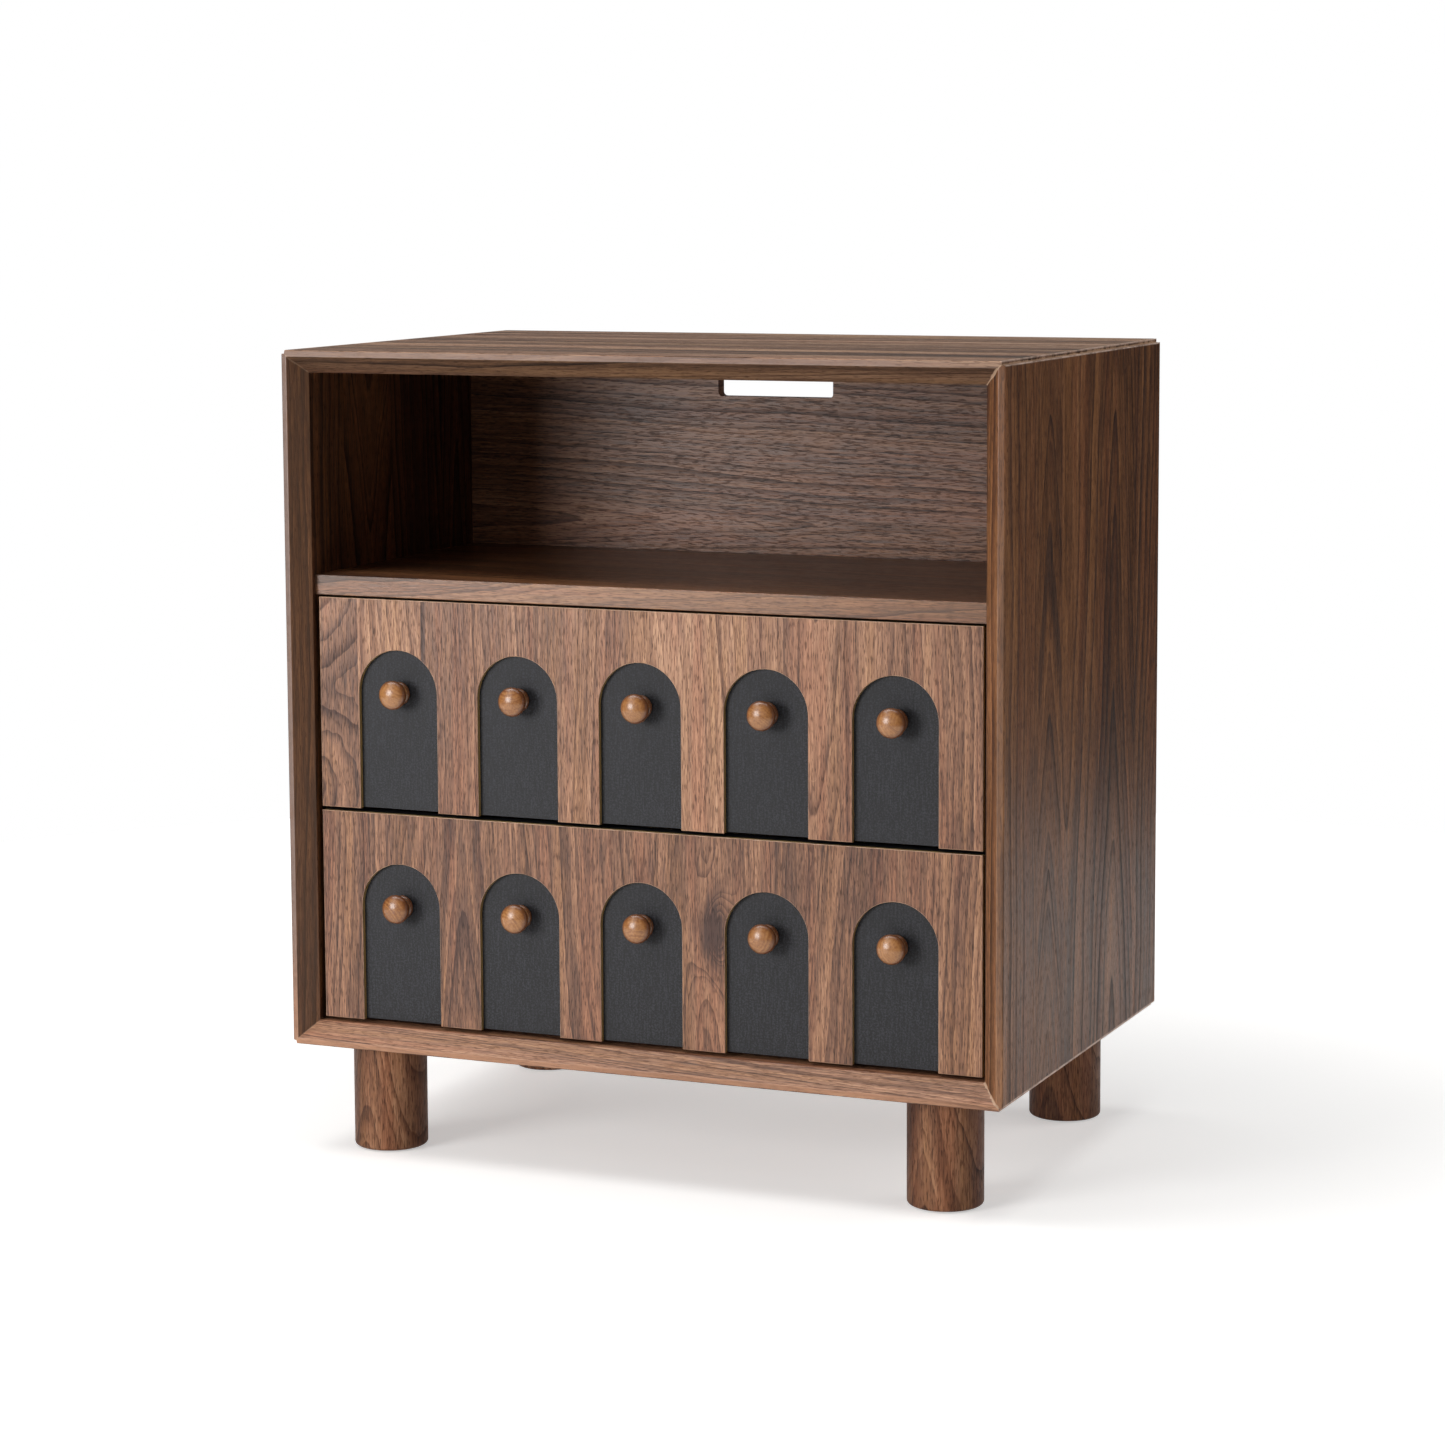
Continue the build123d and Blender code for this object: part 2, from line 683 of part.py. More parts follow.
for drawer_name, face_bottom in drawers.items():
    box_bottom = face_bottom + side_lift
    spring_z = face_bottom + face_height - arch_spring
    slide_z = box_bottom + side_height / 2
    finish(drawer_face(face_bottom), f"{drawer_name}_drawer_face")
    finish(drawer_backing(face_bottom, box_bottom), f"{drawer_name}_drawer_backing")
    for side_name, side in sides.items():
        finish(drawer_side(side, box_bottom), f"{drawer_name}_drawer_{side_name}_side")
    finish(drawer_back(box_bottom), f"{drawer_name}_drawer_back")
    finish(drawer_bottom(box_bottom), f"{drawer_name}_drawer_bottom")
    for i in range(arch_count):
        knob_x = (i - (arch_count - 1) / 2) * arch_pitch
        finish(knob(knob_x, spring_z), f"{drawer_name}_knob_{i + 1}")
    finish(knob_screws(spring_z), f"{drawer_name}_knob_screws")
    with BuildPart() as drawer_dowels:
        with Locations(*drawer_dowel_places(box_bottom)):
            Cylinder(dowel_diameter / 2, dowel_length)
        chamfer(drawer_dowels.edges().filter_by(GeomType.CIRCLE), dowel_chamfer)
    finish(drawer_dowels, f"{drawer_name}_drawer_dowels")
    left_screws = slide_screws(-1, [slide_z], slide_width - sheet, 1)
    right_screws = slide_screws(1, [slide_z], slide_width - sheet, 1)
    with BuildPart() as drawer_slide_screws:
        add(left_screws.part)
        add(right_screws.part)
    finish(drawer_slide_screws, f"{drawer_name}_drawer_slide_screws")
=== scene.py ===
import math

import bmesh
import bpy
from mathutils import Euler, Matrix, Vector


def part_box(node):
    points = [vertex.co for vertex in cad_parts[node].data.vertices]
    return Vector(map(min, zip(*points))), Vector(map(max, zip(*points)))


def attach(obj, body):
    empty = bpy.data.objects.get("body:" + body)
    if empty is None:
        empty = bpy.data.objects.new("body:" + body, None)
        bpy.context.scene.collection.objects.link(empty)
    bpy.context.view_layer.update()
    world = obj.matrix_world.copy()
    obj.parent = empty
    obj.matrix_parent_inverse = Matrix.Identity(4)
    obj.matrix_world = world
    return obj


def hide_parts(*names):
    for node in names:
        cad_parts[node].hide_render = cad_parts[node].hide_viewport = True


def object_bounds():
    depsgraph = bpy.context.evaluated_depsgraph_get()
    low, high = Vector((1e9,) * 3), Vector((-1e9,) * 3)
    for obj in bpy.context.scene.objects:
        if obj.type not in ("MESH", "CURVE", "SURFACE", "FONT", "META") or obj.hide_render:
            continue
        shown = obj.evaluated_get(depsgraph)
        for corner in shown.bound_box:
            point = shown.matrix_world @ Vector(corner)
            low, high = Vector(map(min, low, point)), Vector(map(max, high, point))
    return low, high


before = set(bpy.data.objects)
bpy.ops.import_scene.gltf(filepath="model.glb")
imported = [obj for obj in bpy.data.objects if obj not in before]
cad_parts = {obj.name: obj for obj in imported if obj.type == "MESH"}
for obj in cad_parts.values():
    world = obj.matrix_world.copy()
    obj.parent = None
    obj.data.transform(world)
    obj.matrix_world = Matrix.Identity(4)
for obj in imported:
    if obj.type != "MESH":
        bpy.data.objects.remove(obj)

# Two-drawer bedside cabinet in walnut, with black arches on its drawer fronts. Metres; X to the
# right, Y to the back, Z up, and the front faces -Y.

cad_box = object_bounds()


def centre(node):
    """The middle of a CAD node's box at rest."""
    low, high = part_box(node)
    return (low + high) / 2


# The case is the box of boards that stands on the legs
case_half_width = cad_box[1].x
case_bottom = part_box("bottom_panel")[0].z
case_top = cad_box[1].z
case_middle = (case_bottom + case_top) / 2
case_half_height = (case_top - case_bottom) / 2

# Drawer fronts: the arches and their knobs repeat across, and again one drawer higher
front_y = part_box("upper_drawer_face")[0].y
drawer_gap = (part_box("lower_drawer_face")[1].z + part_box("upper_drawer_face")[0].z) / 2
arch_pitch = centre("upper_knob_2").x - centre("upper_knob_1").x
knob_rise = centre("upper_knob_1").z - centre("lower_knob_1").z


# Node trees ======================================================================================


def tone(red, green, blue):
    """A colour given as 0 to 255, as linear values with alpha."""
    linear = [
        c / 12.92 if c <= 0.04045 else ((c + 0.055) / 1.055) ** 2.4
        for c in (red / 255, green / 255, blue / 255)
    ]
    return (*linear, 1.0)


class Shader:
    """One material, with short calls for the nodes in it."""

    def __init__(self, name):
        self.material = bpy.data.materials.new(name)
        self.material.use_nodes = True
        self.nodes = self.material.node_tree.nodes
        self.links = self.material.node_tree.links
        self.nodes.clear()
        output = self.nodes.new("ShaderNodeOutputMaterial")
        self.surface = self.nodes.new("ShaderNodeBsdfPrincipled")
        self.links.new(self.surface.outputs[0], output.inputs[0])

    def put(self, socket, value):
        """Link another node's output to a socket, or set the socket's own value."""
        if isinstance(value, bpy.types.NodeSocket):
            self.links.new(value, socket)
        else:
            socket.default_value = value

    def math(self, operation, *values, clamp=False):
        node = self.nodes.new("ShaderNodeMath")
        node.operation = operation
        node.use_clamp = clamp
        for socket, value in zip(node.inputs, values):
            self.put(socket, value)
        return node.outputs[0]

    def plus(self, first, second):
        return self.math("ADD", first, second)

    def minus(self, first, second, clamp=False):
        return self.math("SUBTRACT", first, second, clamp=clamp)

    def times(self, first, second):
        return self.math("MULTIPLY", first, second)

    def over(self, first, second):
        return self.math("DIVIDE", first, second)

    def place(self):
        """The three coordinates of a point in the cabinet's own frame."""
        coordinates = self.nodes.new("ShaderNodeTexCoord")
        split = self.nodes.new("ShaderNodeSeparateXYZ")
        self.links.new(coordinates.outputs["Object"], split.inputs[0])
        return {"x": split.outputs[0], "y": split.outputs[1], "z": split.outputs[2]}

    def normal(self):
        """The face's own normal, as three values."""
        geometry = self.nodes.new("ShaderNodeNewGeometry")
        split = self.nodes.new("ShaderNodeSeparateXYZ")
        self.links.new(geometry.outputs["True Normal"], split.inputs[0])
        return {"x": split.outputs[0], "y": split.outputs[1], "z": split.outputs[2]}

    def scaled(self, at, x, y, z):
        """A place with its three coordinates multiplied."""
        return self.vector(self.times(at["x"], x), self.times(at["y"], y), self.times(at["z"], z))

    def vector(self, x, y, z):
        node = self.nodes.new("ShaderNodeCombineXYZ")
        for socket, value in zip(node.inputs, (x, y, z)):
            self.put(socket, value)
        return node.outputs[0]

    def noise(self, vector, detail=2.0, roughness=0.5, distortion=0.0, scale=1.0):
        node = self.nodes.new("ShaderNodeTexNoise")
        self.put(node.inputs["Vector"], vector)
        node.inputs["Scale"].default_value = scale
        node.inputs["Detail"].default_value = detail
        node.inputs["Roughness"].default_value = roughness
        node.inputs["Distortion"].default_value = distortion
        return node.outputs[0]

    def line_noise(self, value, detail=2.0, roughness=0.5):
        node = self.nodes.new("ShaderNodeTexNoise")
        node.noise_dimensions = "1D"
        self.put(node.inputs["W"], value)
        node.inputs["Scale"].default_value = 1.0
        node.inputs["Detail"].default_value = detail
        node.inputs["Roughness"].default_value = roughness
        return node.outputs[0]

    def random(self, value):
        """Three random numbers for each whole value."""
        node = self.nodes.new("ShaderNodeTexWhiteNoise")
        node.noise_dimensions = "1D"
        self.put(node.inputs["W"], value)
        split = self.nodes.new("ShaderNodeSeparateColor")
        self.links.new(node.outputs["Color"], split.inputs[0])
        return split.outputs[0], split.outputs[1], split.outputs[2]

    def fit(self, value, start, end, low_value=0.0, high_value=1.0):
        """Eases from low_value at start to high_value at end."""
        node = self.nodes.new("ShaderNodeMapRange")
        node.interpolation_type = "SMOOTHSTEP"
        for socket, given in zip(node.inputs, (value, start, end, low_value, high_value)):
            self.put(socket, given)
        return node.outputs[0]

    def ramp(self, value, stops):
        """The colour at a value, from stops given as (value, colour)."""
        node = self.nodes.new("ShaderNodeValToRGB")
        self.put(node.inputs[0], value)
        elements = node.color_ramp.elements
        while len(elements) < len(stops):
            elements.new(0.5)
        for element, (position, colour) in zip(elements, stops):
            element.position = position
            element.color = colour
        return node.outputs[0]

    def choose(self, share, first, second):
        """The first value, or the second where share is 1."""
        node = self.nodes.new("ShaderNodeMix")
        self.put(node.inputs[0], share)
        self.put(node.inputs[2], first)
        self.put(node.inputs[3], second)
        return node.outputs[0]

    def mix(self, share, first, second, blend="MIX"):
        """The first colour, blended with the second by share."""
        node = self.nodes.new("ShaderNodeMix")
        node.data_type = "RGBA"
        node.blend_type = blend
        self.put(node.inputs["Factor"], share)
        self.put(node.inputs[6], first)
        self.put(node.inputs[7], second)
        return node.outputs[2]

    def bump(self, height, strength, distance):
        node = self.nodes.new("ShaderNodeBump")
        node.inputs["Strength"].default_value = strength
        node.inputs["Distance"].default_value = distance
        self.links.new(height, node.inputs["Height"])
        self.links.new(node.outputs[0], self.surface.inputs["Normal"])

    def finish(self, colour, roughness, **constants):
        """Set the surface. constants are the shader's own sockets, with _ for a space."""
        self.put(self.surface.inputs["Base Color"], colour)
        self.put(self.surface.inputs["Roughness"], roughness)
        for name, value in constants.items():
            self.surface.inputs[name.replace("_", " ")].default_value = value
        return self.material


def weave(s, *shares):
    """A weighted sum of factors, each given as (weight, factor)."""
    total = None
    for weight, factor in shares:
        part = s.times(factor, weight)
        total = part if total is None else s.plus(total, part)
    return total


# Wood ============================================================================================


def centred(s, factor):
    """A factor's swing about its middle."""
    return s.minus(factor, 0.5)


def leaves(s, across, seams):
    """The number of the veneer leaf at a point, and where that leaf starts."""
    number = 0.0
    start = -0.4
    for before, seam in zip((start, *seams), seams):
        past = s.math("GREATER_THAN", across, seam)
        number = s.plus(number, past)
        start = s.plus(start, s.times(past, seam - before))
    return number, start


def distance(s, first, second):
    """The length of a step with these two parts."""
    squares = s.plus(s.math("POWER", first, 2.0), s.math("POWER", second, 2.0))
    return s.math("SQRT", squares)


def grain(
    s, along, across, through, seed, seams=(), ring=0.0045, lean=0.11, wander=1.0, hearts=(),
    eyes=(), knots=()
):
    """Growth rings, fibres and pores of veneer laid in leaves. Gives factors from 0 to 1.

    A ring shows as nested arches where its leaf crosses the heart of the tree, and as straight
    lines beside it. seams are the places of the joints between leaves, ring is the width of a ring,
    lean is the steepest slope of the heart along a leaf, and wander is how much the rings wave.
    hearts are (leaf, across, slope) for leaves whose arches have a set place, eyes are (leaf,
    centres) for crotch figure curling round its centres, and knots are (along, across, size).
    """
    # Each leaf has its own three random numbers, and is cut from its own place in the noise
    number, start = leaves(s, across, seams)
    r1, r2, r3 = s.random(s.plus(number, seed * 31.7))
    shifted = s.plus(along, s.times(r1, 5.0))
    aside = s.plus(across, s.times(r2, 3.0))
    deeper = s.plus(through, seed * 0.73)

    def stretched(along_scale, across_scale, **settings):
        """Noise with this many waves to a metre along the grain and across it."""
        return s.noise(
            s.vector(
                s.times(shifted, along_scale),
                s.times(aside, across_scale),
                s.times(deeper, across_scale),
            ),
            **settings,
        )

    # reach is how far a point is from the heart, so a growth ring is where it stays the same
    farthest_heart = 0.12
    cut_depth = 0.007
    heart = s.plus(start, s.times(r2, farthest_heart))
    slope = s.times(centred(s, r3), 2 * lean)
    for leaf, heart_across, heart_slope in hearts:
        here = s.math("COMPARE", number, float(leaf), 0.5)
        heart = s.choose(here, heart, heart_across)
        slope = s.choose(here, slope, heart_slope)
    spread = distance(s, s.minus(across, heart), cut_depth)
    reach = s.plus(spread, s.times(shifted, slope))
    slow = stretched(3.4, 11.0, detail=1.5)
    ripple = stretched(22.0, 90.0, detail=2.0)
    wave = weave(s, (0.034 * wander, centred(s, slow)), (0.0042 * wander, centred(s, ripple)))
    reach = s.plus(reach, wave)

    # Crotch figure curls round the nearest of its centres instead
    eye_blend = 0.025
    eye_tightness = 0.42
    eye_curl = 0.011
    for leaf, centres in eyes:
        here = s.math("COMPARE", number, float(leaf), 0.5)
        nearest = 1.0
        for eye_along, eye_across in centres:
            away = distance(s, s.minus(along, eye_along), s.minus(across, eye_across))
            nearest = s.math("SMOOTH_MIN", nearest, away, eye_blend)
        curl = centred(s, stretched(18.0, 30.0, detail=3.0, roughness=0.6))
        curled = s.plus(s.times(nearest, eye_tightness), s.times(curl, eye_curl))
        reach = s.choose(here, reach, curled)

    # A knot pushes the rings round it, and is longer than it is wide
    knot_length = 2.3
    knot_push = 2.2
    heartwood = 0.0
    for knot_along, knot_across, size in knots:
        off_along = s.over(s.minus(along, knot_along), size * knot_length)
        off_across = s.over(s.minus(across, knot_across), size)
        away = s.plus(s.math("POWER", off_along, 2.0), s.math("POWER", off_across, 2.0))
        rise = s.math("EXPONENT", s.times(away, -1.0))
        reach = s.plus(reach, s.times(rise, size * knot_push))
        heartwood = s.plus(heartwood, s.math("POWER", rise, 3.0))

    # Rings are counted outward and vary in width; each darkens slowly towards a sharp dark line
    turns = s.over(reach, ring)
    uneven = s.line_noise(s.times(turns, 0.37), detail=1.0)
    turns = s.plus(turns, s.times(uneven, 3.0))
    strength, shade, _ = s.random(s.math("FLOOR", turns))
    phase = s.math("FRACT", turns)
    late = s.times(s.math("POWER", phase, 2.2), s.fit(phase, 1.0, 0.92))
    return {
        "line": s.times(late, s.plus(s.times(strength, 0.8), 0.2)),
        "ring": shade,
        "broad": s.line_noise(s.times(turns, 0.16), detail=2.0),
        "fibre": stretched(30.0, 560.0, detail=3.0, roughness=0.7),
        "pores": s.fit(stretched(130.0, 1250.0, detail=1.5), 0.53, 0.64),
        "cloud": stretched(5.0, 26.0, detail=2.5, roughness=0.55),
        "tint": stretched(3.0, 70.0, detail=1.0),
        "streak": stretched(0.9, 34.0, detail=3.0, roughness=0.75),
        "leaf": r1,
        "number": number,
        "knot": heartwood,
    }


def walnut(
    name, along, across, through, seed, stops, level=0.62, shades=(), fold=None, lines=0.7,
    streaks=0.0, extra=None, gloss=0.2, shine=0.5, **figure
):
    """Satin walnut veneer, with its figure from grain().

    level is the middle of the tone, and shades are (leaf, change) for single leaves. lines and
    streaks are how dark the ring lines and the long streaks are. fold is (middle, half) where the
    figure carries on round the edges of a board. extra may change the colour, given the shader,
    the places and the colour. gloss is the clear coat, and shine the reflection under it.
    """
    s = Shader(name)
    at = s.place()
    width = at[across]
    if fold:
        middle, half = fold
        out = s.math("ABSOLUTE", s.minus(at[through], middle))
        width = s.plus(width, s.minus(half, out))
    g = grain(s, at[along], width, at[through], seed, **figure)
    light = level
    for weight, factor in (
        (0.55, g["broad"]),
        (0.24, g["ring"]),
        (0.50, g["cloud"]),
        (1.35, g["fibre"]),
        (0.20, g["leaf"]),
        (streaks, g["streak"]),
    ):
        light = s.plus(light, s.times(centred(s, factor), weight))
    for leaf, change in shades:
        here = s.math("COMPARE", g["number"], float(leaf), 0.5)
        light = s.plus(light, s.times(here, change))
    light = s.minus(light, s.times(g["line"], lines))
    knot_darkness = 0.8
    light = s.minus(light, s.times(g["knot"], knot_darkness), clamp=True)
    colour = s.ramp(light, stops)

    # Some streaks are pinker and others yellower, and the pores are dark
    pinker = tone(255, 244, 240)
    yellower = tone(253, 250, 238)
    pore_tone = tone(128, 114, 110)
    pore_depth = 0.7
    for start, end, tinted in ((0.5, 0.66, pinker), (0.5, 0.34, yellower)):
        colour = s.mix(s.fit(g["tint"], start, end), colour, s.mix(1.0, colour, tinted, "MULTIPLY"))
    dark = s.mix(1.0, colour, pore_tone, "MULTIPLY")
    colour = s.mix(s.times(g["pores"], pore_depth), colour, dark)
    if extra:
        colour = extra(s, at, colour)
    rough = weave(s, (0.5, g["fibre"]), (0.3, g["pores"]), (0.35, g["line"]))
    height = weave(s, (0.6, g["fibre"]), (-0.6, g["pores"]))
    s.bump(height, 0.3, 0.0005)
    return s.finish(
        colour,
        s.fit(rough, 0.15, 0.75, 0.38, 0.7),
        IOR=1.45,
        Specular_IOR_Level=shine,
        Coat_Weight=gloss,
        Coat_Roughness=0.3,
    )


# Tones of the walnut from its darkest to its palest, for each kind of board
casing_stops = (
    (0.00, tone(36, 20, 11)),
    (0.30, tone(76, 46, 27)),
    (0.60, tone(116, 75, 45)),
    (1.00, tone(158, 108, 70)),
)
face_stops = (
    (0.00, tone(76, 48, 37)),
    (0.35, tone(130, 90, 67)),
    (0.65, tone(172, 124, 93)),
    (1.00, tone(208, 160, 125)),
)
# The top's tones are paler and greyer than the casing's: its own walnut with painted sheen on it
top_stops_with_sheen = (
    (0.00, tone(60, 44, 34)),
    (0.35, tone(100, 74, 57)),
    (0.65, tone(138, 106, 84)),
    (1.00, tone(172, 138, 112)),
)
leg_stops = (
    (0.00, tone(60, 36, 24)),
    (0.35, tone(104, 67, 46)),
    (0.65, tone(142, 96, 67)),
    (1.00, tone(176, 130, 96)),
)


def banding_with_painted_light(s, at, colour):
    """Edge veneer on the front faces: partly paler wood, partly painted light on faces turned forward,
    up and right; painted shade on faces turned down.
    """
    normal = s.normal()
    forward = s.fit(normal["y"], -0.3, -0.5)
    # Painted light: faces turned forward, up and to the right are paler, partly as edge veneer and
    # partly as light falling on them
    pale_and_lit = weave(
        s,
        (0.18, s.fit(normal["y"], -0.75, -0.95)),
        (0.08, s.fit(normal["z"], 0.1, 0.6)),
        (0.17, s.fit(normal["x"], 0.3, 0.6)),
    )
    paler_and_lit_colour = s.mix(0.5, colour, tone(226, 168, 126), "SCREEN")
    colour = s.mix(s.times(forward, pale_and_lit), colour, paler_and_lit_colour)
    # Painted shade on the faces turned down
    shaded = s.times(forward, s.fit(normal["z"], -0.4, -0.6))
    return s.mix(shaded, colour, s.mix(1.0, colour, tone(202, 192, 182), "MULTIPLY"))


def casing_edges_and_painted_light(s, at, colour):
    """Edge banding with painted light and shade, a painted highlight on the nose, a chipped glue line
    where the boards meet, and rubbed corners at the steps.
    """
    colour = banding_with_painted_light(s, at, colour)
    step = 0.003
    nose = 0.008
    soft = 0.0004
    wear_and_highlight_patches = s.noise(s.vector(at["x"], at["y"], at["z"]), scale=90.0, detail=4.0, roughness=0.75)
    from_side = s.minus(case_half_width, s.math("ABSOLUTE", at["x"]))
    rise = s.math("ABSOLUTE", s.minus(at["z"], case_middle))
    from_end = s.minus(case_half_height, rise)

    # Painted highlight on the flat nose round the front of the case: patchy, greyer above and redder
    # below, and fainter towards the right side
    outermost = s.fit(s.math("MINIMUM", from_side, from_end), nose + soft, nose)
    nose_highlight = s.times(outermost, s.fit(s.normal()["y"], -0.9, -0.97))
    nose_highlight = s.times(nose_highlight, s.fit(wear_and_highlight_patches, 0.3, 0.6, 0.5, 0.75))
    nose_highlight = s.times(nose_highlight, s.fit(at["x"], 0.2, 0.295, 1.0, 0.35))
    highlight_tone = s.mix(s.fit(at["z"], 0.2, 0.1), tone(152, 131, 122), tone(196, 146, 116))
    colour = s.mix(nose_highlight, colour, highlight_tone)

    # The mitre, where a point is as far from the side as from the top or bottom
    apart = s.math("ABSOLUTE", s.minus(from_side, from_end))
    apart = s.minus(apart, s.fit(wear_and_highlight_patches, 0.45, 0.62, 0.0, 0.0011))
    chipped = s.times(s.fit(apart, 0.0009, 0.0002), s.fit(at["x"], 0.0, 0.29, 0.2, 0.85))
    colour = s.mix(chipped, colour, tone(196, 164, 136))

    # The small step along each outer corner
    for far, near in ((from_side, from_end), (from_end, from_side)):
        off = s.plus(s.math("ABSOLUTE", s.minus(far, step)), near)
        worn = s.times(s.fit(off, 0.0014, 0.0005), s.fit(wear_and_highlight_patches, 0.35, 0.6, 0.35, 1.0))
        colour = s.mix(worn, colour, tone(214, 188, 172))
    return colour


def face_edges(s, at, colour):
    """Rubbed arrises on the front, and the raw layered edge of the board inside the arches."""
    normal = s.normal()
    facing = s.math("ABSOLUTE", normal["y"])
    arris = s.times(s.fit(facing, 0.25, 0.35), s.fit(facing, 0.95, 0.85))
    wear = s.noise(s.vector(at["x"], 0.0, at["z"]), scale=90.0, detail=3.0, roughness=0.7)
    rubbed = s.times(arris, s.fit(wear, 0.35, 0.6, 0.35, 0.95))
    colour = s.mix(rubbed, colour, tone(206, 168, 140))
    outer_layer = 0.0011
    blur = 0.0002
    behind = s.minus(at["y"], front_y)
    layer = s.fit(behind, outer_layer - blur, outer_layer + blur)
    raw = s.mix(layer, tone(84, 56, 40), tone(168, 138, 84))
    return s.mix(s.fit(facing, 0.25, 0.15), colour, raw)


def painted_leg_side_shade(middle):
    """Painted shade on a leg: the walnut darkens away from a lit strip down its front, as the round
    sides turn from the light.
    """
    lit_strip = 0.009
    darkest = 0.026

    def shade(s, at, colour):
        aside = s.math("ABSOLUTE", s.minus(at["x"], middle))
        # Painted shade on the sides of the leg
        dark = s.mix(1.0, colour, tone(196, 186, 178), "MULTIPLY")
        return s.mix(s.fit(aside, lit_strip, darkest), colour, dark)

    return shade


def dress(node, material):
    """Give a CAD piece its material."""
    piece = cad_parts[node]
    piece.data.materials.clear()
    piece.data.materials.append(material)


def veneer(node, along, across, through, seed, stops, **details):
    """Give a CAD board walnut, with its grain along the first axis."""
    dress(node, walnut(f"walnut_{node}", along, across, through, seed, stops, **details))


def cased(half, middle=0.0):
    """What the boards of the case share: edges with their painted light, little gloss, and figure that
    runs round them.
    """
    return {"extra": casing_edges_and_painted_light, "gloss": 0.05, "fold": (middle, half)}


# The figure of each board. Seams, hearts, eyes and knots are places in metres.
upright = cased(case_half_width)
level_board = cased(case_half_height, case_middle)
# The top has painted sheen in its paler tones and higher level, with little real shine
veneer(
    "top_panel", "x", "y", "z", 3, top_stops_with_sheen, seams=(-0.1, 0.02, 0.11), lean=0.04,
    ring=0.012, lines=1.0, streaks=2.6, level=0.72, shine=0.25, **level_board,
)
veneer(
    "bottom_panel", "x", "y", "z", 5, face_stops, seams=(-0.08, 0.05), level=0.62, lines=0.8,
    **level_board,
)
veneer(
    "left_side_panel", "z", "y", "x", 7, casing_stops, seams=(-0.11, -0.03, 0.06), ring=0.009,
    hearts=((1, -0.068, -0.2),), level=0.46, **upright,
)
veneer(
    "right_side_panel", "z", "y", "x", 12, casing_stops, seams=(-0.115, -0.06, 0.035, 0.13),
    ring=0.01, hearts=((1, -0.09, 0.24), (3, 0.075, 0.12)), **upright,
)
veneer(
    "divider_shelf", "x", "y", "z", 11, casing_stops, seams=(-0.12, 0.0), extra=banding_with_painted_light,
    gloss=0.5, level=0.66, fold=(case_middle, centre("divider_shelf").z - case_middle),
)
veneer(
    "back_panel", "x", "z", "y", 13, leg_stops, seams=(0.2, 0.32, 0.545), lean=0.05, ring=0.006,
    hearts=((2, 0.49, 0.05),), gloss=0.1, level=0.68, lines=0.6, wander=0.7,
)
veneer(
    "upper_drawer_face", "z", "x", "y", 17, face_stops, extra=face_edges, gloss=0.15,
    ring=0.0052, lines=0.52, level=0.6,
    seams=(-0.2445, -0.188, -0.1845, -0.09, 0.012, 0.09, 0.165),
    shades=((0, -0.22), (2, -0.4), (3, 0.02), (4, 0.07), (5, 0.22), (6, 0.05), (7, -0.08)),
    eyes=((0, ((0.46, -0.294), (0.295, -0.291))),),
)
veneer(
    "lower_drawer_face", "z", "x", "y", 23, face_stops, extra=face_edges, gloss=0.15,
    ring=0.0052, seams=(-0.186, -0.095, 0.015, 0.1, 0.2), lines=0.52, level=0.5,
    shades=((0, -0.03), (1, -0.14), (3, 0.05), (5, 0.14)),
    hearts=((1, -0.155, 0.075), (3, 0.055, 0.05)), knots=((0.203, 0.062, 0.016),),
)
for seed, corner in ((29, "front_left"), (31, "front_right"), (33, "rear_left"), (35, "rear_right")):
    leg = f"{corner}_leg"
    # Painted shade darkens each leg away from a lit strip down its front
    lit_strip_x = centre(leg).x + 0.007
    heart_x = centre(leg).x - 0.006
    veneer(
        leg, "z", "x", "y", seed, leg_stops, extra=painted_leg_side_shade(lit_strip_x), gloss=0.05, shine=0.3,
        level=0.72, ring=0.007, hearts=((0, heart_x, 0.22),),
    )


# Black boards ====================================================================================


def black_board():
    """Charcoal lacquer brushed on upright, over a fine grained board."""
    s = Shader("black_lacquer")
    at = s.place()
    brushed = s.noise(s.scaled(at, 700.0, 700.0, 70.0), detail=3.0, roughness=0.65)
    speckle = s.noise(s.vector(at["x"], at["y"], at["z"]), scale=650.0, detail=2.0, roughness=0.8)
    depth = weave(s, (0.35, brushed), (0.65, speckle))
    colour = s.ramp(
        s.fit(depth, 0.38, 0.62),
        ((0.0, tone(8, 8, 10)), (0.5, tone(25, 25, 29)), (1.0, tone(54, 54, 60))),
    )
    s.bump(depth, 0.5, 0.0004)
    return s.finish(colour, s.fit(depth, 0.3, 0.7, 0.5, 0.68), IOR=1.45)


board_material = black_board()
for drawer in ("upper", "lower"):
    dress(f"{drawer}_drawer_backing", board_material)


# Knobs ===========================================================================================

# Radius and distance in front of the backing board, as runs of arcs: start, middle and end
knob_arcs = (
    ((0.0085, 0.0000), (0.0094, 0.0020), (0.0081, 0.0040)),
    ((0.0081, 0.0040), (0.0062, 0.0063), (0.0088, 0.0086)),
    ((0.0088, 0.0086), (0.0115, 0.0120), (0.0103, 0.0154)),
    ((0.0103, 0.0154), (0.0053, 0.0181), (0.0000, 0.0190)),
)


